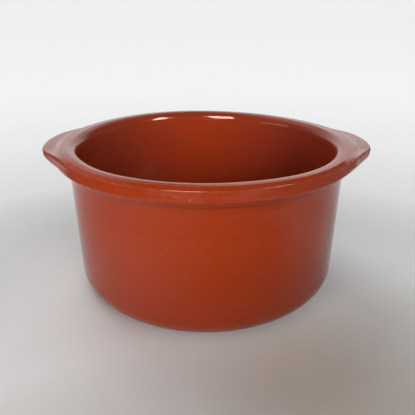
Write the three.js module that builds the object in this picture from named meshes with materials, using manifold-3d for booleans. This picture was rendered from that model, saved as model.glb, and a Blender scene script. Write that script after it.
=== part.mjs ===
import * as THREE from 'three';
import { mergeVertices } from 'three/addons/utils/BufferGeometryUtils.js';
import Module from 'manifold-3d';

// Clay baking dish: a round, deep casserole with a rolled rim and a flat lug on each side.
// Millimetres, +Z up. The origin is the centre of the foot, on the table.
// +X runs through the right lug, and the front is towards -Y.

// Body
const dishHeight = 119; // table to the crown of the rim
const wallTopRadius = 108.8; // outside of the wall, where it meets the rim
const wallThickness = 8;
const wallDraft = THREE.MathUtils.degToRad(0.75); // the wall narrows downwards
const floorThickness = 9; // table to the inside of the floor
const heelRadius = 18; // outside corner of wall and base
const innerCornerRadius = 14; // inside corner of wall and floor
const footWidth = 11; // flat ring that the dish stands on
const footRecessDepth = 1.2; // hollow of the underside, inside that ring

// Rim
const lipWidth = 9.2; // inside of the wall to the crown
const lipDepth = 9; // crown to where the rounded lip meets the inside of the wall
const crownDrop = 2.4; // crown to the ridge at the outside of the rim
const rimOverhang = 7.7; // band of the rim outside the wall
const bandHeight = 8.6; // upright outer face of the rim
const coveHeight = 4.8; // hollow below the band, down to the wall

// Lugs
const lugReach = 13; // tip beyond the band
const lugNoseWidth = 60; // corner to corner of the rounded nose
const lugNoseBulge = 6; // tip beyond those corners
const lugSpread = THREE.MathUtils.degToRad(28); // lug axis to where its sides run out on the band
const lugEndWidth = 1; // blunt end of the lug there
const lugThickness = 5.2;
const lugEdgeRounding = 2.2;
const lugGussetInset = 1.2; // edge of the thickening, inside the lug's outline

// Joints
const slipFilm = 0.3; // luting slip between the rim's band and a lug
const seamMargin = 2; // straight wall left between a seam and the curve next to it

// Fineness of the facets
const turnSegments = 72;
const curveSteps = 5;
const noseSteps = 12;
const roundingSteps = 3;

// Heights and radii that follow from these
const ridgeHeight = dishHeight - crownDrop;
const bandBottom = ridgeHeight - bandHeight;
const rimSeamOuter = bandBottom - coveHeight;
const rimSeamInner = dishHeight - lipDepth - seamMargin;
const baseSeamOuter = heelRadius + seamMargin;
const innerCornerHeight = floorThickness + innerCornerRadius;
const baseSeamInner = innerCornerHeight + seamMargin;
const rimRadius = wallTopRadius + rimOverhang;
const crownRadius = boreRadiusAt(dishHeight - lipDepth) + lipWidth;
const lugTipRadius = rimRadius + lugReach;
const lugBottom = ridgeHeight - lugThickness;

const wasm = await Module();
wasm.setup();

function wallRadiusAt(height) {
  return wallTopRadius - (rimSeamOuter - height) * Math.tan(wallDraft);
}

function boreRadiusAt(height) {
  return wallRadiusAt(height) - wallThickness;
}

function point(radius, height) {
  return new THREE.Vector2(radius, height);
}

function wallPoint(height) {
  return point(wallRadiusAt(height), height);
}

function borePoint(height) {
  return point(boreRadiusAt(height), height);
}

// Points of an elliptic arc between two angles, both ends included.
function arc(centre, width, height, from, to) {
  const curve = new THREE.EllipseCurve(centre.x, centre.y, width, height, from, to, to < from);
  return curve.getPoints(curveSteps);
}

// Solid of revolution about +Z. The profile runs anticlockwise, radius to the right and height up.
function turned(profile) {
  return new THREE.LatheGeometry(profile, turnSegments).rotateX(Math.PI / 2);
}

function toSolid(geometry) {
  const bare = geometry.clone();
  bare.deleteAttribute('normal');
  bare.deleteAttribute('uv');
  const merged = mergeVertices(bare);
  return new wasm.Manifold(new wasm.Mesh({
    numProp: 3,
    vertProperties: Float32Array.from(merged.attributes.position.array),
    triVerts: Uint32Array.from(merged.index.array),
  }));
}

function toGeometry(solid) {
  const mesh = solid.getMesh();
  const geometry = new THREE.BufferGeometry();
  geometry.setAttribute('position', new THREE.BufferAttribute(mesh.vertProperties, 3));
  geometry.setIndex(new THREE.BufferAttribute(mesh.triVerts, 1));
  geometry.computeVertexNormals();
  return geometry;
}

// Floor disc with the heel, the foot ring and the start of the wall.
function baseSlab() {
  const heelCentre = point(wallRadiusAt(heelRadius) - heelRadius / Math.cos(wallDraft), heelRadius);
  const cornerInset = innerCornerRadius / Math.cos(wallDraft);
  const cornerCentre = point(boreRadiusAt(innerCornerHeight) - cornerInset, innerCornerHeight);
  const recessRadius = heelCentre.x - footWidth;
  return turned([
    point(0, footRecessDepth),
    point(recessRadius - footRecessDepth, footRecessDepth),
    point(recessRadius, 0),
    ...arc(heelCentre, heelRadius, heelRadius, -Math.PI / 2, -wallDraft),
    wallPoint(baseSeamOuter),
    borePoint(baseSeamInner),
    ...arc(cornerCentre, innerCornerRadius, innerCornerRadius, -wallDraft, -Math.PI / 2),
    point(0, floorThickness),
  ]);
}

// Wall ring between two bevelled seams, each from the end of the outer curve to that of the inner one.
function sideWall() {
  return turned([
    wallPoint(baseSeamOuter),
    wallPoint(rimSeamOuter),
    borePoint(rimSeamInner),
    borePoint(baseSeamInner),
    wallPoint(baseSeamOuter),
  ]);
}

// Rolled rim: cove, upright band, outer ridge, crown and rounded inner lip.
function rimCollar() {
  const cove = arc(point(rimRadius, rimSeamOuter), rimOverhang, coveHeight, Math.PI, Math.PI / 2);
  const ridge = arc(point(crownRadius, ridgeHeight), rimRadius - crownRadius, crownDrop, 0, Math.PI / 2);
  const lip = arc(point(crownRadius, dishHeight - lipDepth), lipWidth, lipDepth, Math.PI / 2, Math.PI);
  return turned([
    wallPoint(rimSeamOuter),
    ...cove.slice(1),
    ...ridge,
    ...lip.slice(1),
    borePoint(rimSeamInner),
    wallPoint(rimSeamOuter),
  ]);
}

// Plan of a lug on +X: a rounded nose between two straight sides that run out on the rim's band.
// The inset draws every point in towards the axis of the dish.
function lugOutline(inset) {
  const tip = lugTipRadius - inset;
  const corner = point(lugTipRadius - lugNoseBulge, lugNoseWidth / 2);
  corner.setLength(corner.length() - inset);
  const end = point(Math.cos(lugSpread), Math.sin(lugSpread));
  end.setLength(rimRadius + slipFilm + lugEndWidth - inset);
  const root = end.clone().setLength(wallTopRadius);
  const outline = new THREE.Shape();
  outline.moveTo(root.x, -root.y);
  outline.lineTo(end.x, -end.y);
  outline.lineTo(corner.x, -corner.y);
  outline.quadraticCurveTo(2 * tip - corner.x, 0, corner.x, corner.y);
  outline.lineTo(end.x, end.y);
  outline.lineTo(root.x, root.y);
  return outline;
}

function lugPlate() {
  return new THREE.ExtrudeGeometry(lugOutline(0), {
    depth: lugThickness - 2 * lugEdgeRounding,
    curveSegments: noseSteps,
    bevelThickness: lugEdgeRounding,
    bevelSize: lugEdgeRounding,
    bevelOffset: -lugEdgeRounding,
    bevelSegments: roundingSteps,
  }).translate(0, 0, lugBottom + lugEdgeRounding);
}

// Thickening below the plate, deepest at the band and running out before the lug's rounded edge.
function lugGusset() {
  const outer = lugTipRadius - lugGussetInset;
  const top = lugBottom + lugThickness / 2;
  const ring = turned([
    point(wallTopRadius, bandBottom),
    point(rimRadius, bandBottom),
    point(outer, lugBottom),
    point(outer, top),
    point(wallTopRadius, top),
    point(wallTopRadius, bandBottom),
  ]);
  const plan = new THREE.ExtrudeGeometry(lugOutline(lugGussetInset), {
    depth: dishHeight,
    curveSegments: noseSteps,
    bevelEnabled: false,
  });
  return toSolid(ring).intersect(toSolid(plan));
}

// Lug plate and gusset, hollowed at the root to sit on the band with a film of slip between.
function lugHandle() {
  const seatRadius = rimRadius + slipFilm;
  const seat = new THREE.CylinderGeometry(seatRadius, seatRadius, 2 * dishHeight, turnSegments);
  seat.rotateX(Math.PI / 2);
  return toGeometry(toSolid(lugPlate()).add(lugGusset()).subtract(toSolid(seat)));
}

const glazedClay = new THREE.MeshStandardMaterial({ color: 0x9c3a1c, roughness: 0.22, metalness: 0 });
const glazedLug = new THREE.MeshStandardMaterial({ color: 0xa1461f, roughness: 0.22, metalness: 0 });
const bareFootClay = new THREE.MeshStandardMaterial({ color: 0x8e3a20, roughness: 0.45, metalness: 0 });

function piece(name, geometry, material) {
  const mesh = new THREE.Mesh(geometry, material);
  mesh.name = name;
  return mesh;
}

const dish = new THREE.Group();
dish.name = 'clay_baking_dish';
dish.add(piece('base_slab', baseSlab(), bareFootClay));
dish.add(piece('side_wall', sideWall(), glazedClay));
dish.add(piece('rim_collar', rimCollar(), glazedClay));
dish.add(piece('lug_handle_right', lugHandle(), glazedLug));

const leftLug = piece('lug_handle_left', lugHandle(), glazedLug);
leftLug.rotation.z = Math.PI;
dish.add(leftLug);

export default dish;
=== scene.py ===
"""Looks of a round clay baking dish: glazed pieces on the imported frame, with floor, light and camera."""
import math

import bpy
from mathutils import Matrix, Vector


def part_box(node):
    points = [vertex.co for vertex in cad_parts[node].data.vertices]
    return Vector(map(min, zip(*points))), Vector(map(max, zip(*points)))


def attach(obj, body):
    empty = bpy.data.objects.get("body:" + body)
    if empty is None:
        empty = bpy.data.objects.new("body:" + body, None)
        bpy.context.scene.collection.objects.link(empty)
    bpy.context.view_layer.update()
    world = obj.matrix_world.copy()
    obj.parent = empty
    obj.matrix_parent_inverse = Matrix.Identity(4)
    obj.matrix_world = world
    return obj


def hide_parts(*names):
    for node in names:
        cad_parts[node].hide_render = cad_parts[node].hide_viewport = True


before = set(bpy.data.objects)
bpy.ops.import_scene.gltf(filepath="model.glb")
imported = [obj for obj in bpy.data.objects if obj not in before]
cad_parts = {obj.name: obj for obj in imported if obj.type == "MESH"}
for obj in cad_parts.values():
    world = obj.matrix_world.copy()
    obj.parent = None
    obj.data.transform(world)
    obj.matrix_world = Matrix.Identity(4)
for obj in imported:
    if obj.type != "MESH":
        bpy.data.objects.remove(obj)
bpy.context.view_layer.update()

# Sizes read from the frame, in metres
rim_low, rim_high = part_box("rim_collar")
wall_low, wall_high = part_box("side_wall")
_, base_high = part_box("base_slab")
lug_low, lug_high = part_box("lug_handle_right")

DISH_HEIGHT = rim_high[2]
RIM_RADIUS = rim_high[1]
RIM_SEAM_OUTER = rim_low[2]
RIM_SEAM_INNER = wall_high[2]
BASE_SEAM_OUTER = wall_low[2]
BASE_SEAM_INNER = base_high[2]
WALL_TOP_RADIUS = wall_high[1]
WALL_DRAFT = (wall_high[1] - base_high[1]) / (RIM_SEAM_OUTER - BASE_SEAM_OUTER)
RIDGE_HEIGHT = lug_high[2]
BAND_BOTTOM = lug_low[2]
LUG_TIP_RADIUS = lug_high[0]

# Sizes of the pot that the boxes don't give
WALL_THICKNESS = 0.008
FLOOR_THICKNESS = 0.009
SEAM_MARGIN = 0.002
HEEL_RADIUS = BASE_SEAM_OUTER - SEAM_MARGIN
INNER_CORNER_RADIUS = BASE_SEAM_INNER - SEAM_MARGIN - FLOOR_THICKNESS
FOOT_WIDTH = 0.011
FOOT_RECESS = 0.0012
LIP_WIDTH = 0.0092
LIP_DEPTH = DISH_HEIGHT - SEAM_MARGIN - RIM_SEAM_INNER
BAND_ROUNDING = 0.0022
BAND_LEAN = 0.0006
CROWN_FLAT = 0.0026
RIM_SLOPE = math.radians(36)
RIDGE_ROUNDING = 0.0006
SEAM_STEP = 0.0006
COVE_START = math.radians(35)
FLARE_WIDTH = 0.0009
FLARE_HEIGHT = 0.006

# Unevenness of worked clay: waves round the dish as (count, phase, swing), rings up the wall, and dips
OVAL_WAVES = ((2, -1.1, 0.00022), (3, 0.6, 0.0001))
RING_SWING = 0.00003
RING_RATE = 1150
RING_TILT = 0.8
FINE_RING_SWING = 0.00002
FINE_RING_RATE = 2310
BACK_DIP = 0.00085
FRONT_DIP = 0.00045
FRONT_DROOP = 0.00075
FULL_DROOP_FROM = 0.6

# Places where the crest rises or sinks, as (middle in degrees, reach in degrees, lift)
CREST_WAVES = ((-42, 38, -0.00085), (-150, 24, 0.0008))
CREST_WAVE_FOOT = BAND_BOTTOM + 0.002
CREST_WAVE_RISE = 0.006

# How much fuller the lip is at the sides, and how far that leans to the back
LIP_SIDE_RISE = 0.001
LIP_RISE_LEAN = 0.9
LIP_BULGE_SCALE = 27 / 4

# Lugs
LUG_THICKNESS = 0.0074
LUG_TOP_ROUNDING = 0.0016
LUG_FACE = 0.0034
LUG_LOWER_ROUNDING = 0.0032
LUG_EDGE_SHARE = 0.4
LUG_TOP_REACH = 0.28
LUG_DROP_REACH = 0.45
LUG_SIDE_ANGLE = math.radians(36.5)
LUG_NOSE_RADIUS = 0.0788
LUG_NOSE_LIMIT = math.radians(24)
LUG_FLANK_START = math.radians(17)
LUG_SHOULDER_SPAN = math.radians(25)
LUG_SHOULDER_SKEW = 0.6
LUG_FRONT_SHOULDER = 0.0024
LUG_BACK_SHOULDER = 0.0004
LUG_CORNER_BLEND = 0.002
LUG_BLEND = 0.0072
LUG_PROUD = 0.000015
LUG_PROUD_FROM = 0.004
LUG_SUNK_POINTS = 4
LUG_START_DEPTH = 0.0012
LUG_ROOT = 0.004
LEFT_FLANK_SWELL = 0.0
RIGHT_FLANK_SWELL = 0.001

# Where glaze wears thin: how tight an edge is in radians per millimetre, and what counts as a seam
MILLIMETRE = 0.001
WEAR_START = 0.15
WEAR_RANGE = 0.6
SEAM_TURN = math.radians(35)
SHARP_EDGE = math.radians(38)
SHORTEST_STEP = 1e-7

# Camera fitted to the photograph, whose frame is 415 pixels wide
FRAME_PIXELS = 415
FOCAL_PIXELS = 430
SENSOR_MILLIMETRES = 36
CAMERA_PLACE = (0.0008, -0.34416, 0.20489)
CAMERA_PITCH = math.radians(23.347)

# Fineness of the meshes
TURN_STEPS = 360
ARC_STEPS = 14
EDGE_STEPS = 8
SHORT_STEPS = 6
CROWN_STEPS = 4
LIP_STEPS = 24
FLARE_STEPS = 12
WALL_STEPS = 50
BORE_STEPS = 60
UNDERSIDE_STEPS = 24
FLOOR_STEPS = 30
LUG_STEPS = 160
LUG_FLAT_STEPS = 6
LUG_ROUND_STEPS = 7
LUG_FACE_STEPS = 5
LUG_FOOT_STEPS = 14


def wall_radius(height):
    return WALL_TOP_RADIUS - (RIM_SEAM_OUTER - height) * WALL_DRAFT


def bore_radius(height):
    return wall_radius(height) - WALL_THICKNESS


CROWN_RADIUS = bore_radius(DISH_HEIGHT - LIP_DEPTH) + LIP_WIDTH
CROWN_DROP = DISH_HEIGHT - RIDGE_HEIGHT
RIDGE_RADIUS = RIM_RADIUS - BAND_LEAN
SEAM_RADIUS = WALL_TOP_RADIUS + FLARE_WIDTH


def share(value):
    """The value, held between 0 and 1."""
    return min(max(value, 0), 1)


# Sections: lists of (radius, height) points

def arc(centre, width, height, start, end, steps=ARC_STEPS):
    """Points of an elliptic arc between two angles in degrees, both ends included."""
    turns = [math.radians(start + (end - start) * k / steps) for k in range(steps + 1)]
    return [(centre[0] + width * math.cos(t), centre[1] + height * math.sin(t)) for t in turns]


def line(start, end, steps):
    """Points of a straight line, both ends included."""
    return [tuple(a + (b - a) * k / steps for a, b in zip(start, end)) for k in range(steps + 1)]


def joined(*runs):
    """One run of points, without the point where two runs meet twice."""
    points = list(runs[0])
    for run in runs[1:]:
        points += run[1:]
    return points


def rim_slope():
    """The ends of the straight slope outside the crown, and the radius of the crown's rounding."""
    sine, cosine = math.sin(RIM_SLOPE), math.cos(RIM_SLOPE)
    run = RIDGE_RADIUS - CROWN_RADIUS - CROWN_FLAT - RIDGE_ROUNDING * (1 - sine)
    fall = run * math.tan(RIM_SLOPE) + RIDGE_ROUNDING * cosine - CROWN_DROP
    rounding = fall * cosine / (1 - cosine)
    top = (CROWN_RADIUS + CROWN_FLAT + rounding * sine, DISH_HEIGHT - rounding * (1 - cosine))
    foot = (RIDGE_RADIUS - RIDGE_ROUNDING * (1 - sine), RIDGE_HEIGHT + RIDGE_ROUNDING * cosine)
    return top, foot, rounding


def rim_shoulder():
    """The rounding outside the flat crown, down to the straight slope."""
    rounding = rim_slope()[2]
    centre = (CROWN_RADIUS + CROWN_FLAT, DISH_HEIGHT - rounding)
    return arc(centre, rounding, rounding, 90, 90 - math.degrees(RIM_SLOPE), EDGE_STEPS)


def rim_lip():
    """The rounded lip, from the crown in and down to the bore."""
    return arc((CROWN_RADIUS, DISH_HEIGHT - LIP_DEPTH), LIP_WIDTH, LIP_DEPTH, 90, 180, LIP_STEPS)


def rim_ridge():
    """The straight slope and the tight ridge at its foot."""
    top, foot, _ = rim_slope()
    centre = (RIDGE_RADIUS - RIDGE_ROUNDING, RIDGE_HEIGHT)
    ridge = arc(centre, RIDGE_ROUNDING, RIDGE_ROUNDING, 90 - math.degrees(RIM_SLOPE), 0, EDGE_STEPS)
    return joined(line(top, foot, SHORT_STEPS), ridge)


def rim_band(start, end, steps):
    """A stretch of the band, which leans in a little, given as shares of its height below the ridge."""
    drop = RIDGE_HEIGHT - BAND_BOTTOM - BAND_ROUNDING
    high = (RIDGE_RADIUS + BAND_LEAN * start, RIDGE_HEIGHT - drop * start)
    low = (RIDGE_RADIUS + BAND_LEAN * end, RIDGE_HEIGHT - drop * end)
    return line(high, low, steps)


def rim_underside():
    """The band's rounded lower edge."""
    centre = (RIM_RADIUS - BAND_ROUNDING, BAND_BOTTOM + BAND_ROUNDING)
    return arc(centre, BAND_ROUNDING, BAND_ROUNDING, 0, -90)


def rim_cove():
    """The hollow below the band, down to a small step that stands proud of the wall."""
    foot = RIM_SEAM_OUTER + SEAM_STEP
    outer = RIM_RADIUS - BAND_ROUNDING
    width = (outer - SEAM_RADIUS - SEAM_STEP) / math.cos(COVE_START)
    height = (BAND_BOTTOM - foot) / (1 - math.sin(COVE_START))
    return arc((outer, BAND_BOTTOM - height), width, height, 90, 180 - math.degrees(COVE_START))


def rim_section():
    """The whole rim, from the wall up the outside, over the crown and down the lip."""
    shoulder = rim_shoulder()
    band = rim_band(0, 1, EDGE_STEPS)
    outside = joined(shoulder, rim_ridge(), band, rim_underside(), rim_cove())
    crown = line(shoulder[0], (CROWN_RADIUS, DISH_HEIGHT), CROWN_STEPS)
    seam = (SEAM_RADIUS, RIM_SEAM_OUTER)
    seat = (bore_radius(RIM_SEAM_INNER), RIM_SEAM_INNER)
    return [seam] + joined(outside[::-1], crown, rim_lip()) + [seat]


def wall_section():
    """The wall ring, from the base seam up the outside, which flares under the rim, and down the inside."""
    outer_foot = (wall_radius(BASE_SEAM_OUTER), BASE_SEAM_OUTER)
    flare_start = RIM_SEAM_OUTER - FLARE_HEIGHT
    flare = []
    for k in range(1, FLARE_STEPS + 1):
        height = flare_start + FLARE_HEIGHT * k / FLARE_STEPS
        flare.append((wall_radius(height) + FLARE_WIDTH * (k / FLARE_STEPS) ** 2, height))
    inner_top = (bore_radius(RIM_SEAM_INNER), RIM_SEAM_INNER)
    inner_foot = (bore_radius(BASE_SEAM_INNER), BASE_SEAM_INNER)
    outside = line(outer_foot, (wall_radius(flare_start), flare_start), WALL_STEPS) + flare
    return outside + line(inner_top, inner_foot, BORE_STEPS)


def base_section():
    """The floor with foot and heel, from the axis out below, up the heel and back in over the floor."""
    draft = math.degrees(math.atan(WALL_DRAFT))
    lean = math.cos(math.radians(draft))
    heel = (wall_radius(HEEL_RADIUS) - HEEL_RADIUS / lean, HEEL_RADIUS)
    corner_height = FLOOR_THICKNESS + INNER_CORNER_RADIUS
    corner = (bore_radius(corner_height) - INNER_CORNER_RADIUS / lean, corner_height)
    recess = heel[0] - FOOT_WIDTH
    hollow = arc((recess - FOOT_RECESS, 0), FOOT_RECESS, FOOT_RECESS, 90, 0, SHORT_STEPS)
    under_floor = line((0, FOOT_RECESS), hollow[0], UNDERSIDE_STEPS)
    foot = line(hollow[-1], (heel[0], 0), SHORT_STEPS)
    outer = arc(heel, HEEL_RADIUS, HEEL_RADIUS, -90, -draft, 2 * ARC_STEPS)
    outer_seam = (wall_radius(BASE_SEAM_OUTER), BASE_SEAM_OUTER)
    inner_seam = (bore_radius(BASE_SEAM_INNER), BASE_SEAM_INNER)
    inner = arc(corner, INNER_CORNER_RADIUS, INNER_CORNER_RADIUS, -draft, -90, 2 * ARC_STEPS)
    floor = line(inner[-1], (0, FLOOR_THICKNESS), FLOOR_STEPS)
    return joined(under_floor, hollow, foot, outer) + [outer_seam, inner_seam] + joined(inner, floor)


def sweep(depth):
    """How far along a smooth S-shaped fall a depth is reached, both as shares."""
    return 0.5 - math.sin(math.asin(min(max(1 - 2 * depth, -1), 1)) / 3)


def lug_pair():
    """Two matching runs of points: the rim's own outside, and the lug at its full reach."""
    top = joined(rim_shoulder(), rim_ridge())
    edge = rim_band(0, LUG_EDGE_SHARE, LUG_FLAT_STEPS + LUG_ROUND_STEPS + LUG_FACE_STEPS)
    foot = joined(rim_band(LUG_EDGE_SHARE, 1, LUG_FOOT_STEPS), rim_underside())
    plain = joined(top, edge, foot, rim_cove())

    depths = [(DISH_HEIGHT - height) / CROWN_DROP for _, height in top]
    slope = [(top[0][0] + LUG_BLEND * sweep(depth), height) for depth, (_, height) in zip(depths, top)]
    tip = LUG_TIP_RADIUS
    corner = (tip - LUG_TOP_ROUNDING, RIDGE_HEIGHT - LUG_TOP_ROUNDING)
    round_over = arc(corner, LUG_TOP_ROUNDING, LUG_TOP_ROUNDING, 90, 0, LUG_ROUND_STEPS)
    flat = line(slope[-1], round_over[0], LUG_FLAT_STEPS)
    face = line(round_over[-1], (tip, RIDGE_HEIGHT - LUG_FACE), LUG_FACE_STEPS)
    lower = (tip - LUG_LOWER_ROUNDING, RIDGE_HEIGHT - LUG_FACE)
    round_under = arc(lower, LUG_LOWER_ROUNDING, LUG_THICKNESS - LUG_FACE, 0, -90, EDGE_STEPS)
    below = line(round_under[-1], foot[-1], len(foot) - len(round_under))
    full = joined(slope, flat, round_over, face, round_under, below, rim_cove())
    return plain, full


def lug_share(angle, swell):
    """How far the lug stands out at an angle from its axis, as a share of its full reach."""
    turn = abs(angle)
    side = RIM_RADIUS / math.cos(max(LUG_SIDE_ANGLE - turn, 0))
    reach = side
    if turn < LUG_NOSE_LIMIT:
        centre = LUG_TIP_RADIUS - LUG_NOSE_RADIUS
        across = centre * math.sin(turn)
        nose = centre * math.cos(turn) + math.sqrt(LUG_NOSE_RADIUS ** 2 - across ** 2)
        overlap = max(LUG_CORNER_BLEND - abs(side - nose), 0)
        reach = min(side, nose) - overlap ** 2 / LUG_CORNER_BLEND / 4
    along = share((turn - LUG_FLANK_START) / (LUG_SIDE_ANGLE - LUG_FLANK_START))
    reach += swell * math.sin(math.pi * along) ** 2
    return max(reach - RIM_RADIUS, 0) / (LUG_TIP_RADIUS - RIM_RADIUS)


def lug_raised(height, angle, shoulder):
    """A height on the lug, raised towards the crown at the shoulder beside the nose."""
    along = min((LUG_SIDE_ANGLE - abs(angle)) / LUG_SHOULDER_SPAN, 1)
    lift = shoulder * math.sin(math.pi * along ** LUG_SHOULDER_SKEW) ** 2
    if height > RIDGE_HEIGHT:
        return height + lift * (DISH_HEIGHT - height) / CROWN_DROP
    return height + lift * max(1 - (RIDGE_HEIGHT - height) / LUG_FACE, 0)


def lug_section(angle, swell, shoulder, plain, full):
    """The lug's closed section at an angle from its axis, its root sunk in the rim."""
    reach = lug_share(angle, swell)
    top_reach = min(reach / LUG_TOP_REACH, 1)
    drop = math.sqrt(min(reach / LUG_DROP_REACH, 1))
    heart = (CROWN_RADIUS - LUG_ROOT, (RIDGE_HEIGHT + BAND_BOTTOM) / 2)
    points = []
    for k, ((r0, z0), (r1, z1)) in enumerate(zip(plain, full)):
        radius = r0 + (r1 - r0) * (top_reach if z0 >= RIDGE_HEIGHT else reach)
        height = lug_raised(z0 + (z1 - z0) * drop, angle, shoulder)
        from_end = min(k, len(plain) - 1 - k) / LUG_SUNK_POINTS
        lift = LUG_PROUD * (2 * min(from_end, reach / LUG_PROUD_FROM, 1) - 1)
        out = Vector((radius - heart[0], height - heart[1])).normalized() * lift
        points.append((radius + out.x, height + out.y))
    start = (plain[0][0] - LUG_START_DEPTH, plain[0][1] - LUG_START_DEPTH)
    return points[::-1] + [start, heart]


# Meshes

def crest_wave(radius, turn, height):
    """How far the rim's crest rises or sinks from level. The band and the wall keep their place."""
    inward = share((RIDGE_RADIUS - radius) / (RIDGE_RADIUS - CROWN_RADIUS))
    high = share((height - CREST_WAVE_FOOT) / CREST_WAVE_RISE)
    wave = 0.0
    for middle, reach, lift in CREST_WAVES:
        away = abs((turn - math.radians(middle) + math.pi) % (2 * math.pi) - math.pi)
        wave += lift * math.cos(min(away / math.radians(reach), 1) * math.pi / 2) ** 2
    return wave * inward * high


def lip_rise(radius, turn, height):
    """How much fuller the lip is at the left and right than in front, most two thirds of the way in."""
    if height < RIM_SEAM_INNER:
        return 0.0
    inward = share((CROWN_RADIUS - radius) / LIP_WIDTH)
    sideways = math.cos(turn) ** 2 * (1 + LIP_RISE_LEAN * math.sin(turn))
    return LIP_SIDE_RISE * sideways * LIP_BULGE_SCALE * inward ** 2 * (1 - inward)


def formed(radius, turn, height):
    """A point of the pot, with the small unevenness of worked clay."""
    raised = height / DISH_HEIGHT
    oval = sum(swing * math.cos(count * turn + phase) for count, phase, swing in OVAL_WAVES)
    rings = RING_SWING * math.sin(RING_RATE * height + RING_TILT * math.sin(turn))
    rings += FINE_RING_SWING * math.sin(FINE_RING_RATE * height)
    radius += raised * oval + (rings if radius > HEEL_RADIUS else 0)
    back_dip = BACK_DIP * math.sin(2 * turn) * (0.5 + 0.5 * math.sin(turn))
    front_dip = FRONT_DIP * (0.5 - 0.5 * math.sin(turn)) ** 3
    outward = share((radius - CROWN_RADIUS) / (RIM_RADIUS - CROWN_RADIUS))
    forward = share(-math.sin(turn) / FULL_DROOP_FROM)
    droop = FRONT_DROOP * outward * forward ** 2 * (3 - 2 * forward)
    height += crest_wave(radius, turn, height) + lip_rise(radius, turn, height)
    height -= (back_dip + front_dip) * raised ** 4 + droop
    return Vector((radius * math.cos(turn), radius * math.sin(turn), height))


def edge_wear(section):
    """For each point of a closed section, 1 on a tight outer edge and 0 where it is flat or hollow."""
    wear = []
    for k, point in enumerate(section):
        before = Vector(point) - Vector(section[k - 1])
        after = Vector(section[(k + 1) % len(section)]) - Vector(point)
        if before.length < SHORTEST_STEP or after.length < SHORTEST_STEP:
            wear.append(0.0)
            continue
        turn = -before.angle_signed(after)
        tightness = turn / (before.length + after.length) * 2 * MILLIMETRE
        seam = abs(turn) > SEAM_TURN
        wear.append(0.0 if seam else share((tightness - WEAR_START) / WEAR_RANGE))
    return wear


def finish_mesh(name, points, faces, wear, material):
    """Makes a smooth mesh object of the pot, with its edge wear, and puts it on the frame."""
    mesh = bpy.data.meshes.new(name)
    mesh.from_pydata(points, [], faces)
    mesh.validate()
    mesh.attributes.new("edge_wear", "FLOAT", "POINT").data.foreach_set("value", wear)
    mesh.shade_smooth()
    mesh.set_sharp_from_angle(angle=SHARP_EDGE)
    mesh.materials.append(material)
    piece = bpy.data.objects.new(name, mesh)
    bpy.context.scene.collection.objects.link(piece)
    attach(piece, "root")
    return piece


def turned_piece(name, section, material):
    """A piece of revolution. A section that starts and ends on the axis gets a pole at each end."""
    poles = section[0][0] == 0
    wear = edge_wear(section)
    rows = list(zip(section, wear))[1:-1] if poles else list(zip(section, wear))
    count = len(rows)
    points, values, faces = [], [], []
    for k in range(TURN_STEPS):
        turn = 2 * math.pi * k / TURN_STEPS
        for (radius, height), value in rows:
            points.append(formed(radius, turn, height))
            values.append(value)
    for k in range(TURN_STEPS):
        here, there = k * count, (k + 1) % TURN_STEPS * count
        for j in range(count - 1 if poles else count):
            up = (j + 1) % count
            faces.append((here + j, there + j, there + up, here + up))
    if poles:
        low, high = len(points), len(points) + 1
        points += [Vector((0, 0, section[0][1])), Vector((0, 0, section[-1][1]))]
        values += [0.0, 0.0]
        for k in range(TURN_STEPS):
            here, there = k * count, (k + 1) % TURN_STEPS * count
            faces.append((low, there, here))
            faces.append((high, here + count - 1, there + count - 1))
    return finish_mesh(name, points, faces, values, material)


def lug_piece(name, middle, swell, material):
    """A lug that grows out of the rim's band around the angle of its middle."""
    plain, full = lug_pair()
    points, values, faces = [], [], []
    for k in range(LUG_STEPS + 1):
        angle = LUG_SIDE_ANGLE * (2 * k / LUG_STEPS - 1)
        shoulder = LUG_BACK_SHOULDER if math.sin(middle + angle) > 0 else LUG_FRONT_SHOULDER
        section = lug_section(angle, swell, shoulder, plain, full)
        points += [formed(radius, middle + angle, height) for radius, height in section]
        values += edge_wear(section)
    count = len(section)
    for k in range(LUG_STEPS):
        for j in range(count):
            up = (j + 1) % count
            faces.append((k * count + j, (k + 1) * count + j, (k + 1) * count + up, k * count + up))
    last = LUG_STEPS * count
    faces.append(tuple(range(count)))
    faces.append(tuple(range(last + count - 1, last - 1, -1)))
    return finish_mesh(name, points, faces, values, material)


# Materials

# Colours of the clay and the glaze, and of light and shade painted on it
CLAY_DARK = (0.330, 0.033, 0.0060, 1)
CLAY_LIGHT = (0.390, 0.044, 0.0085, 1)
GRAIN_DARK = (0.30, 0.030, 0.0055, 1)
GRAIN_LIGHT = (0.42, 0.050, 0.0105, 1)
# Painted light inside the dish, with painted shade towards the sides
PAINTED_LIGHT_INSIDE_MIDDLE = (1.32, 1.4, 1.9, 1)
PAINTED_LIGHT_INSIDE_SIDES = (1.02, 1.35, 3.2, 1)
# Painted shade low on the dish
LOW_PAINTED_SHADE = (0.66, 0.66, 0.66, 1)
# Painted shade in the crease under the band
COVE_SHADE_BROWN = (0.06, 0.006, 0.001, 1)
SPECK_BROWN = (0.055, 0.012, 0.006, 1)
WORN_EDGE = (0.47, 0.105, 0.034, 1)
# Painted light on the front of the crest
CREST_PAINTED_LIGHT = (0.62, 0.125, 0.04, 1)
# Pale colour of a rubbed scuff, also used for a painted glint
SCUFF_AND_GLINT = (0.6, 0.16, 0.075, 1)
GLAZE_IOR = 1.39
BARE_DARK = (0.36, 0.095, 0.045, 1)
BARE_LIGHT = (0.47, 0.15, 0.08, 1)
BARE_GRAIN = (0.27, 0.07, 0.034, 1)
KILN_DUST = (0.55, 0.36, 0.27, 1)
FOOT_BARE_BELOW = FOOT_RECESS * 1.3
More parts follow.
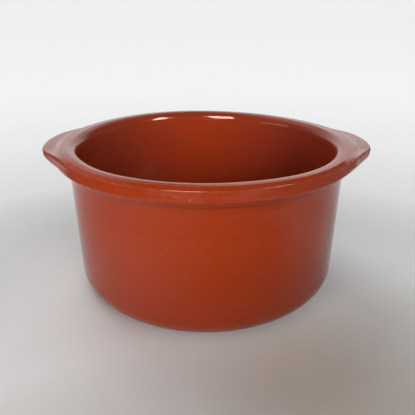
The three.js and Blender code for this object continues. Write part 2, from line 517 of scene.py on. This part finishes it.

# Where the glaze changes, and where light and shade are painted on it: pairs of where the change is absent
# and where it is full, in metres
INSIDE_RADII = (WALL_TOP_RADIUS - 0.002, WALL_TOP_RADIUS - WALL_THICKNESS)
INSIDE_HEIGHTS = (0.006, FLOOR_THICKNESS)
INSIDE_SIDES = (0.02, 0.09)
OUTSIDE_RADII = (WALL_TOP_RADIUS - 0.004, WALL_TOP_RADIUS - 0.002)
LOW_SHADE_HEIGHTS = (0.07, 0.015)
LOW_SHADE_SIDES = (-0.05, 0.03)
COVE_SHADE_HEIGHT = RIM_SEAM_OUTER - 0.0002
COVE_SHADE_REACH = (0.0014, 0.0005)
LIT_CREST_RADIUS = CROWN_RADIUS - 0.0012
LIT_CREST_REACH = (0.0026, 0.001)
LIT_CREST_HEIGHTS = (0.112, 0.114)
LIT_CREST_FRONT = (-0.02, -0.075)

# How strong the changes are: shares, or pairs of the least and the most
MOTTLE_SHARE = 0.6
BANDING_SHARE = 0.4
GRAIN_SHARE = 0.35
LOW_SHADE_STRENGTH = (0.72, 0.95)
COVE_SHADE_STRENGTH = (0.1, 0.3)
SPECK_STRENGTH = 0.75
EDGE_STRENGTH = 0.55
LIT_CREST_STRENGTH = (0.6, 0.85)
MARK_STRENGTH = 0.5
GLAZE_ROUGHNESS = (0.07, 0.14)
WORN_ROUGHNESS = 0.16
BARE_GRAIN_STRENGTH = 0.5
DUST_STRENGTH = (0, 0.45)
BARE_ROUGHNESS = (0.75, 0.95)

# Fine relief of the glaze and of the bare foot
PEEL_RELIEF = 0.6
SPECK_RELIEF = -0.8
GLAZE_RELIEF = 0.06
BARE_RELIEF = 0.35
RELIEF_DEPTH = 0.0004

# A rubbed scuff and a painted glint of a small glaze lump on the front of the band: a place, and one over the
# reach along each axis
LONG_MARK = ((-0.0205, -0.1146, 0.1127), (170, 50, 1000))
# The short mark is a painted glint, standing in for light caught on a small glaze lump
GLINT_MARK = ((-0.0094, -0.116, 0.1108), (900, 50, 900))


class Graph:
    """Short hand for building a node tree."""

    def __init__(self, tree):
        self.tree = tree
        self.tree.nodes.clear()

    def feed(self, node, key, value):
        """Links an input to a socket, or sets it to a constant."""
        if isinstance(value, bpy.types.NodeSocket):
            self.tree.links.new(value, node.inputs[key])
        else:
            node.inputs[key].default_value = value

    def node(self, kind, inputs=None, **settings):
        made = self.tree.nodes.new(kind)
        for key, value in settings.items():
            setattr(made, key, value)
        for key, value in (inputs or {}).items():
            self.feed(made, key, value)
        return made

    def place(self):
        """Where a point lies on the object, in metres."""
        return self.node("ShaderNodeTexCoord").outputs["Object"]

    def parts(self, vector):
        """The X, Y and Z of a vector."""
        return self.node("ShaderNodeSeparateXYZ", {"Vector": vector}).outputs

    def noise(self, vector, scale, detail=4.0, roughness=0.55):
        inputs = {"Vector": vector, "Scale": scale, "Detail": detail, "Roughness": roughness}
        return self.node("ShaderNodeTexNoise", inputs).outputs["Fac"]

    def patches(self, vector, scale, detail=4.0, roughness=0.55):
        """Noise stretched to run from 0 to 1."""
        return self.spread(self.noise(vector, scale, detail, roughness), 0.3, 0.7)

    def spread(self, value, low, high, to_low=0.0, to_high=1.0):
        """The value's run from low to high, moved to another run and held there."""
        inputs = {"Value": value, "From Min": low, "From Max": high, "To Min": to_low, "To Max": to_high}
        return self.node("ShaderNodeMapRange", inputs).outputs["Result"]

    def math(self, operation, first, second=0.0):
        return self.node("ShaderNodeMath", {0: first, 1: second}, operation=operation).outputs[0]

    def plus(self, first, second):
        return self.math("ADD", first, second)

    def times(self, first, second):
        return self.math("MULTIPLY", first, second)

    def larger(self, first, second):
        return self.math("MAXIMUM", first, second)

    def off(self, value, middle):
        """How far a value is from a middle."""
        return self.math("ABSOLUTE", self.math("SUBTRACT", value, middle))

    def scaled(self, vector, scale):
        made = self.node("ShaderNodeVectorMath", {0: vector, 1: scale}, operation="MULTIPLY")
        return made.outputs["Vector"]

    def measured(self, operation, vector, other=(0, 0, 0)):
        """A number from one or two vectors, such as a length or a distance."""
        made = self.node("ShaderNodeVectorMath", {0: vector, 1: other}, operation=operation)
        return made.outputs["Value"]

    def mix(self, amount, first, second, blend="MIX"):
        made = self.node("ShaderNodeMix", data_type="RGBA", blend_type=blend)
        for key, value in zip((0, 6, 7), (amount, first, second)):
            self.feed(made, key, value)
        return made.outputs[2]

    def tinted(self, colour, tint):
        return self.mix(1.0, colour, tint, "MULTIPLY")

    def relief(self, height, strength):
        """The normal of a finely uneven surface."""
        inputs = {"Height": height, "Strength": strength, "Distance": RELIEF_DEPTH}
        return self.node("ShaderNodeBump", inputs).outputs["Normal"]

    def blend(self, amount, first, second):
        """One shader mixed into another."""
        inputs = {0: amount, 1: first.outputs[0], 2: second.outputs[0]}
        return self.node("ShaderNodeMixShader", inputs)

    def finish(self, kind, shader):
        self.node(kind, {"Surface": shader.outputs[0]})


def new_material(name):
    material = bpy.data.materials.new(name)
    material.use_nodes = True
    return material, Graph(material.node_tree)


def clay_body(graph, place):
    """Red clay seen through the glaze: mottled, faintly banded by turning, and grained."""
    stretched = graph.node("ShaderNodeMapping", {"Vector": place, "Scale": (5, 5, 160)}).outputs["Vector"]
    mottle = graph.patches(place, scale=16, detail=3)
    banding = graph.patches(stretched, scale=1, detail=3)
    grain = graph.patches(place, scale=650, detail=3)
    tone = graph.plus(graph.times(mottle, MOTTLE_SHARE), graph.times(banding, BANDING_SHARE))
    clay = graph.mix(tone, CLAY_DARK, CLAY_LIGHT)
    return graph.mix(GRAIN_SHARE, clay, graph.mix(grain, GRAIN_DARK, GRAIN_LIGHT))


def painted_inside_light(graph, colour, spot, radius):
    """Painted light inside the dish: its colour is tinted lighter and bluer there, and less red towards the
    sides as painted shade.
    """
    within = graph.spread(radius, *INSIDE_RADII)
    inside = graph.times(within, graph.spread(spot["Z"], *INSIDE_HEIGHTS))
    beside = graph.spread(graph.math("ABSOLUTE", spot["X"]), *INSIDE_SIDES)
    tint = graph.mix(beside, PAINTED_LIGHT_INSIDE_MIDDLE, PAINTED_LIGHT_INSIDE_SIDES)
    return graph.mix(inside, colour, graph.tinted(colour, tint))


def painted_low_shade(graph, colour, spot):
    """Painted shade that darkens the dish towards the foot, a little more on the right."""
    strength = graph.spread(spot["X"], *LOW_SHADE_SIDES, *LOW_SHADE_STRENGTH)
    low_down = graph.spread(spot["Z"], *LOW_SHADE_HEIGHTS)
    return graph.mix(graph.times(low_down, strength), colour, graph.tinted(colour, LOW_PAINTED_SHADE))


def painted_cove_shade(graph, colour, place, height, radius):
    """An uneven dark line of painted shade at the foot of the cove, under the band."""
    near_shade = graph.spread(graph.off(height, COVE_SHADE_HEIGHT), *COVE_SHADE_REACH)
    in_shade = graph.times(near_shade, graph.spread(radius, *OUTSIDE_RADII))
    depth = graph.spread(graph.noise(place, scale=30, detail=2), 0.35, 0.65, *COVE_SHADE_STRENGTH)
    return graph.mix(graph.times(in_shade, depth), colour, COVE_SHADE_BROWN)


def specks(graph, place):
    """Sparse small specks of iron in the clay."""
    cell = graph.node("ShaderNodeTexVoronoi", {"Vector": place, "Scale": 420})
    sparse = graph.spread(graph.noise(place, scale=130, detail=2), 0.6, 0.66)
    dot = graph.spread(cell.outputs["Distance"], 0.2, 0.1)
    return graph.times(graph.times(sparse, dot), SPECK_STRENGTH)


def painted_crest_light(graph, spot, radius, patchy):
    """How strong the painted light is on the front of the crest."""
    near_crest = graph.spread(graph.off(radius, LIT_CREST_RADIUS), *LIT_CREST_REACH)
    on_crest = graph.times(near_crest, graph.spread(spot["Z"], *LIT_CREST_HEIGHTS))
    in_front = graph.times(on_crest, graph.spread(spot["Y"], *LIT_CREST_FRONT))
    return graph.times(in_front, graph.spread(patchy, 0, 1, *LIT_CREST_STRENGTH))


def pale_mark(graph, place, centre, fineness):
    """1 at a small pale mark and 0 outside it."""
    middle = [c * f for c, f in zip(centre, fineness)]
    away = graph.measured("DISTANCE", graph.scaled(place, fineness), middle)
    return graph.spread(away, 1.0, 0.4)


def glazed_clay():
    """Red clay under a clear gloss glaze, which is thin on the edges and rubbed in one place, with a painted
    glint, painted light inside and on the front crest, and painted shade low down and under the band.
    """
    material, graph = new_material("glazed_red_clay")
    place = graph.place()
    spot = graph.parts(place)
    radius = graph.measured("LENGTH", graph.scaled(place, (1, 1, 0)))
    inside_lit = painted_inside_light(graph, clay_body(graph, place), spot, radius)
    cove_shaded = painted_cove_shade(graph, painted_low_shade(graph, inside_lit, spot), place, spot["Z"], radius)
    speck = specks(graph, place)
    specked = graph.mix(speck, cove_shaded, SPECK_BROWN)

    wear = graph.node("ShaderNodeAttribute", attribute_name="edge_wear").outputs["Fac"]
    patchy = graph.spread(graph.noise(place, scale=240, roughness=0.65), 0.42, 0.62)
    worn = graph.times(wear, patchy)
    edged = graph.mix(graph.times(worn, EDGE_STRENGTH), specked, WORN_EDGE)
    crest_lit = graph.mix(painted_crest_light(graph, spot, radius, patchy), edged, CREST_PAINTED_LIGHT)

    long_mark = graph.times(pale_mark(graph, place, *LONG_MARK), patchy)
    # The short mark is a painted glint
    scuff_and_glint = graph.larger(long_mark, pale_mark(graph, place, *GLINT_MARK))
    colour = graph.mix(graph.times(scuff_and_glint, MARK_STRENGTH), crest_lit, SCUFF_AND_GLINT)

    smear = graph.spread(graph.noise(place, scale=45, roughness=0.6), 0.35, 0.75, *GLAZE_ROUGHNESS)
    rough = graph.plus(smear, graph.times(graph.larger(worn, scuff_and_glint), WORN_ROUGHNESS))
    peel = graph.noise(place, scale=380, detail=2)
    relief = graph.plus(graph.times(peel, PEEL_RELIEF), graph.times(speck, SPECK_RELIEF))
    normal = graph.relief(relief, GLAZE_RELIEF)
    shader = graph.node("ShaderNodeBsdfPrincipled", {
        "Base Color": colour, "Roughness": rough, "IOR": GLAZE_IOR, "Normal": normal,
    })
    graph.finish("ShaderNodeOutputMaterial", shader)
    return material


def bare_clay():
    """Unglazed clay of the foot: dull, grainy, paler and smudged with kiln dust."""
    material, graph = new_material("bare_foot_clay")
    place = graph.place()
    grain = graph.patches(place, scale=900, roughness=0.7)
    clay = graph.mix(graph.patches(place, scale=22), BARE_DARK, BARE_LIGHT)
    grained = graph.mix(graph.times(grain, BARE_GRAIN_STRENGTH), clay, BARE_GRAIN)
    smudge = graph.noise(place, scale=60, detail=5, roughness=0.65)
    colour = graph.mix(graph.spread(smudge, 0.58, 0.75, *DUST_STRENGTH), grained, KILN_DUST)
    rough = graph.spread(grain, 0, 1, *BARE_ROUGHNESS)
    normal = graph.relief(grain, BARE_RELIEF)
    shader = graph.node("ShaderNodeBsdfPrincipled", {
        "Base Color": colour, "Roughness": rough, "Normal": normal,
    })
    graph.finish("ShaderNodeOutputMaterial", shader)
    return material


# Pieces

def bare_the_foot(base, material):
    """Gives the faces on and inside the foot the bare clay."""
    base.data.materials.append(material)
    for face in base.data.polygons:
        face.material_index = 1 if face.center.z < FOOT_BARE_BELOW else 0


glaze = glazed_clay()
base = turned_piece("base_glazed", base_section(), glaze)
bare_the_foot(base, bare_clay())
wall = turned_piece("wall_glazed", wall_section(), glaze)
rim = turned_piece("rim_glazed", rim_section(), glaze)
right_lug = lug_piece("lug_right_glazed", 0, RIGHT_FLANK_SWELL, glaze)
left_lug = lug_piece("lug_left_glazed", math.pi, LEFT_FLANK_SWELL, glaze)

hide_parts("base_slab")
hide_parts("side_wall")
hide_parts("rim_collar")
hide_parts("lug_handle_right")
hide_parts("lug_handle_left")


# Stage

# Floor: a big sheet of paper, just below the dish
FLOOR_HALF = 6.0
FLOOR_LEVEL = -0.0002
PAPER_LIT = (0.86, 0.892, 0.892, 1)
# Painted shade on the paper towards the front right, and a warm painted shadow of the dish
PAPER_PAINTED_SHADE = (0.535, 0.518, 0.483, 1)
PAINTED_WARM_SHADOW = (0.88, 0.82, 0.76, 1)
PAINTED_SHADE_WAY = (0.35, -0.94, 0)
PAINTED_SHADE_RANGE = (0.09, 0.196)
UNSHADED_SIDES = (0.14, 0.23)
PAINTED_SHADOW_PLACE = (0.065, -0.135, 0)
PAINTED_SHADOW_REACH = (0.075, 0.02)
FIBRE_TONES = (0.985, 1.0)
MIRRORED_SHARE = 0.88
LIGHTING_SHARE = 0.25
PAPER_ROUGHNESS = 0.7

# The far paper looks like an evenly lit backdrop: (share of the reach, grey) outward from a middle
BACKDROP_MIDDLE = (0, -0.15, 0)
BACKDROP_REACH = 4
BACKDROP_GREYS = ((0.06, 0.6), (0.096, 0.69), (0.157, 0.81), (0.22, 0.86), (0.3, 0.89), (1, 0.87))
BACKDROP_TINT = (1.0, 1.006, 1.003)
BACKDROP_RANGE = (0.27, 0.4)

# Painted shade that only the glaze mirrors: a dark glow over the paper beside and before the dish, apart from
# two light gaps
MIRRORED_PAINTED_SHADE = (0.1, 0.1, 0.1, 1)
LEFT_SHADE_EDGE = (-0.33, -0.37)
LEFT_COVER = 0.93
LEFT_GAP = (-0.405, 0.175, 0)
LEFT_GAP_REACH = (0.025, 0.05)
RIGHT_SHADE_EDGE = (0.33, 0.42)
RIGHT_COVER = 0.75
RIGHT_GAP = (0.43, 0.2, 0)
RIGHT_GAP_REACH = (0.02, 0.045)
FRONT_SHADE_EDGE = (-0.11, -0.17)
FRONT_COVER = 0.85
FRONT_LEFT_END = (-0.08, 0.01)
FRONT_RIGHT_END = (0.25, 0.15)

# The room that the glaze mirrors: pairs of parts of a heading, then the light at each
LOW_HEADINGS = (0.9, 0.6)
LOW_LIGHT = (0.14, 0.95)
BACK_HEADINGS = (-0.35, 0.25)
LEFT_HEADINGS = (-0.88, -0.64)
RIGHT_HEADINGS = (0.62, 0.42)
FAR_LIGHT = (0.15, 1.0)
LEAN_HEADINGS = (-0.09, 0.09)
LEAN_LIGHT = (-0.65, 0.5)
LEAN_END = (-0.5, -0.38)
OVERHEAD = (0.45, 0.55)
EYE_LEVEL_LOW = (0.04, 0.16)
EYE_LEVEL_HIGH = (0.62, 0.5)
BEHIND_HEADINGS = (0.8, 0.93)
BEHIND_LIGHT = (0, 0.14)
SKY_WINDOW = (-0.34, 0.5, 0.797)
SKY_WINDOW_EDGE = (0.93, 0.985)
SKY_WINDOW_LIGHT = (0, 1.1)

# Light
WHITE = (1, 1, 1, 1)
WALL_GREY = (0.86, 0.87, 0.865, 1)
CREAM = (1.0, 0.73, 0.6)
AMBER = (1.0, 0.7, 0.45)
SKY_STRENGTH = 0.16
SUN_DISTANCE = 2


def backdrop(graph, place):
    """The glow of the far paper, by its distance from the middle."""
    away = graph.measured("DISTANCE", place, BACKDROP_MIDDLE)
    ramp = graph.node("ShaderNodeValToRGB", {"Fac": graph.spread(away, 0, BACKDROP_REACH)})
    elements = ramp.color_ramp.elements
    elements.remove(elements[1])
    for k, (position, grey) in enumerate(BACKDROP_GREYS):
        element = elements[0] if k == 0 else elements.new(position)
        element.position = position
        element.color = [grey * tint for tint in BACKDROP_TINT] + [1]
    glow = graph.node("ShaderNodeEmission", {"Color": ramp.outputs["Color"], "Strength": 1.0})
    return glow, graph.spread(away, *BACKDROP_RANGE)


def near_paper(graph, place, spot, path):
    """White paper around the dish, with painted shade towards the front right and a warm painted shadow in
    front of the dish. It lights the dish little.
    """
    fibre = graph.spread(graph.noise(place, scale=30), 0.3, 0.7, *FIBRE_TONES)
    looked_at = graph.larger(path["Is Camera Ray"], graph.times(path["Is Glossy Ray"], MIRRORED_SHARE))
    strength = graph.times(fibre, graph.spread(looked_at, 0, 1, LIGHTING_SHARE, 1.0))
    falloff = graph.spread(graph.measured("DOT_PRODUCT", place, PAINTED_SHADE_WAY), *PAINTED_SHADE_RANGE)
    unshaded = graph.times(graph.spread(spot["X"], *UNSHADED_SIDES), path["Is Glossy Ray"])
    shaded = graph.times(falloff, graph.math("SUBTRACT", 1.0, unshaded))
    tint = graph.mix(shaded, PAPER_LIT, PAPER_PAINTED_SHADE)
    painted_shadow = graph.spread(graph.measured("DISTANCE", place, PAINTED_SHADOW_PLACE), *PAINTED_SHADOW_REACH)
    shadowed = graph.mix(painted_shadow, tint, graph.tinted(tint, PAINTED_WARM_SHADOW))
    white = graph.tinted(shadowed, strength)
    return graph.node("ShaderNodeBsdfPrincipled", {"Base Color": white, "Roughness": PAPER_ROUGHNESS})


def mirrored_painted_shade(graph, place, spot):
    """How much of the paper the glaze mirrors as a dark glow of painted shade."""
    past_left_gap = graph.spread(graph.measured("DISTANCE", place, LEFT_GAP), *LEFT_GAP_REACH)
    on_left = graph.times(graph.spread(spot["X"], *LEFT_SHADE_EDGE, 0, LEFT_COVER), past_left_gap)
    past_right_gap = graph.spread(graph.measured("DISTANCE", place, RIGHT_GAP), *RIGHT_GAP_REACH)
    on_right = graph.times(graph.spread(spot["X"], *RIGHT_SHADE_EDGE, 0, RIGHT_COVER), past_right_gap)
    before = graph.spread(spot["Y"], *FRONT_SHADE_EDGE, 0, FRONT_COVER)
    between = graph.times(graph.spread(spot["X"], *FRONT_LEFT_END), graph.spread(spot["X"], *FRONT_RIGHT_END))
    return graph.larger(graph.plus(on_left, on_right), graph.times(before, between))


def floor_material():
    """White paper. Far off, the eye and the gloss see it as an evenly lit backdrop; nearby, the gloss also
    sees painted shade on it in places.
    """
    material, graph = new_material("pale_floor")
    place = graph.place()
    spot = graph.parts(place)
    path = graph.node("ShaderNodeLightPath").outputs
    seen = graph.larger(path["Is Camera Ray"], path["Is Glossy Ray"])
    far, distance = backdrop(graph, place)
    paper = graph.blend(graph.times(distance, seen), near_paper(graph, place, spot, path), far)
    # A dark glow that only the glaze sees: painted shade in its reflections
    painted_dark = graph.node("ShaderNodeEmission", {"Color": MIRRORED_PAINTED_SHADE, "Strength": 1.0})
    shade_share = graph.times(mirrored_painted_shade(graph, place, spot), path["Is Glossy Ray"])
    graph.finish("ShaderNodeOutputMaterial", graph.blend(shade_share, paper, painted_dark))
    return material


def make_floor():
    mesh = bpy.data.meshes.new("floor")
    ways = ((-1, -1), (1, -1), (1, 1), (-1, 1))
    corners = [(x * FLOOR_HALF, y * FLOOR_HALF, FLOOR_LEVEL) for x, y in ways]
    mesh.from_pydata(corners, [], [(0, 1, 2, 3)])
    mesh.materials.append(floor_material())
    floor = bpy.data.objects.new("floor", mesh)
    bpy.context.scene.collection.objects.link(floor)


def mirrored_room(graph, heading):
    """What the glaze mirrors: a room that is bright at the back, with a window high up behind."""
    way = graph.parts(heading)
    low = graph.spread(way["Z"], *LOW_HEADINGS, *LOW_LIGHT)
    back = graph.spread(way["Y"], *BACK_HEADINGS, *FAR_LIGHT)
    left = graph.spread(way["X"], *LEFT_HEADINGS, *FAR_LIGHT)
    right = graph.spread(way["X"], *RIGHT_HEADINGS, *FAR_LIGHT)
    lean = graph.spread(way["X"], *LEAN_HEADINGS, *LEAN_LIGHT)
    leaning = graph.times(lean, graph.spread(way["X"], *LEAN_END))
    overhead = graph.plus(graph.times(leaning, graph.spread(way["Z"], *OVERHEAD)), 1.0)
    room = graph.times(graph.times(low, back), graph.times(graph.times(left, right), overhead))
    eye_level = graph.times(graph.spread(way["Z"], *EYE_LEVEL_LOW), graph.spread(way["Z"], *EYE_LEVEL_HIGH))
    behind = graph.times(eye_level, graph.spread(way["Y"], *BEHIND_HEADINGS, *BEHIND_LIGHT))
    toward = graph.measured("DOT_PRODUCT", heading, SKY_WINDOW)
    window = graph.spread(toward, *SKY_WINDOW_EDGE, *SKY_WINDOW_LIGHT)
    return graph.plus(graph.plus(room, behind), window)


def make_world():
    """Soft light from all round, a mirrored room for the gloss and a plain pale wall for the eye."""
    world = bpy.data.worlds.new("studio")
    bpy.context.scene.world = world
    world.use_nodes = True
    graph = Graph(world.node_tree)
    path = graph.node("ShaderNodeLightPath").outputs
    heading = graph.node("ShaderNodeTexCoord").outputs["Generated"]
    sky = graph.node("ShaderNodeBackground", {"Color": WHITE, "Strength": SKY_STRENGTH})
    mirror = graph.node("ShaderNodeBackground", {"Color": WHITE, "Strength": mirrored_room(graph, heading)})
    plain = graph.node("ShaderNodeBackground", {"Color": WALL_GREY, "Strength": 1.0})
    lit = graph.blend(path["Is Glossy Ray"], sky, mirror)
    graph.finish("ShaderNodeOutputWorld", graph.blend(path["Is Camera Ray"], lit, plain))


def aim(lamp, azimuth, elevation, distance):
    """Points a lamp at the dish. Azimuth 0 is in front, 90 on the right."""
    turn, rise = math.radians(azimuth), math.radians(elevation)
    away = Vector((math.sin(turn) * math.cos(rise), -math.cos(turn) * math.cos(rise), math.sin(rise)))
    place = Matrix.Translation(Vector((0, 0, DISH_HEIGHT / 2)) + away * distance)
    lamp.matrix_world = place @ away.to_track_quat("Z", "Y").to_matrix().to_4x4()
    bpy.context.scene.collection.objects.link(lamp)


def area_lamp(name, size, watts):
    data = bpy.data.lights.new(name, "AREA")
    data.shape = "RECTANGLE"
    data.size, data.size_y = size
    data.energy = watts
    return bpy.data.objects.new(name, data)


def make_softbox(name, azimuth, elevation, distance, size, watts):
    """A broad soft lamp that lights the clay but isn't mirrored in the glaze."""
    lamp = area_lamp(name, size, watts)
    lamp.visible_glossy = False
    aim(lamp, azimuth, elevation, distance)


def make_glint(name, azimuth, elevation, distance, size, watts, tint):
    """A small window that shows only as a glint in the glaze."""
    lamp = area_lamp(name, size, watts)
    lamp.data.color = tint
    lamp.visible_diffuse = False
    aim(lamp, azimuth, elevation, distance)


def make_sky_light(name, azimuth, elevation, spread, strength):
    """Even light from one side of the room, soft enough to blur the dish's shadow."""
    data = bpy.data.lights.new(name, "SUN")
    data.angle = math.radians(spread)
    data.energy = strength
    lamp = bpy.data.objects.new(name, data)
    lamp.visible_glossy = False
    aim(lamp, azimuth, elevation, SUN_DISTANCE)


def make_camera():
    data = bpy.data.cameras.new("camera")
    data.sensor_width = SENSOR_MILLIMETRES
    data.lens = data.sensor_width * FOCAL_PIXELS / FRAME_PIXELS
    data.clip_start = 0.01
    camera = bpy.data.objects.new("camera", data)
    camera.location = CAMERA_PLACE
    camera.rotation_euler = (math.pi / 2 - CAMERA_PITCH, 0, 0)
    bpy.context.scene.collection.objects.link(camera)
    bpy.context.scene.camera = camera


make_floor()
make_world()
make_sky_light("sky_back_left", azimuth=206, elevation=50, spread=40, strength=1.05)
make_softbox("room_front", azimuth=-4, elevation=15, distance=1.5, size=(0.8, 0.5), watts=9.8)
make_softbox("room_right", azimuth=26, elevation=30, distance=1.5, size=(0.6, 0.5), watts=4)
make_softbox("room_left", azimuth=-56, elevation=0, distance=1.3, size=(0.8, 0.1), watts=5.6)
make_glint("window_front", azimuth=-20, elevation=54, distance=1.2, size=(0.38, 0.5), watts=20.5, tint=CREAM)
make_glint("window_right", azimuth=60.5, elevation=46, distance=0.8, size=(0.16, 0.26), watts=4.6, tint=CREAM)
make_glint("window_left", azimuth=-76, elevation=20, distance=1.4, size=(0.8, 0.3), watts=2.6, tint=AMBER)
make_glint("window_low", azimuth=100, elevation=-1, distance=1.4, size=(1.0, 0.1), watts=1.8, tint=AMBER)
make_camera()
bpy.context.scene.view_settings.view_transform = "Standard"
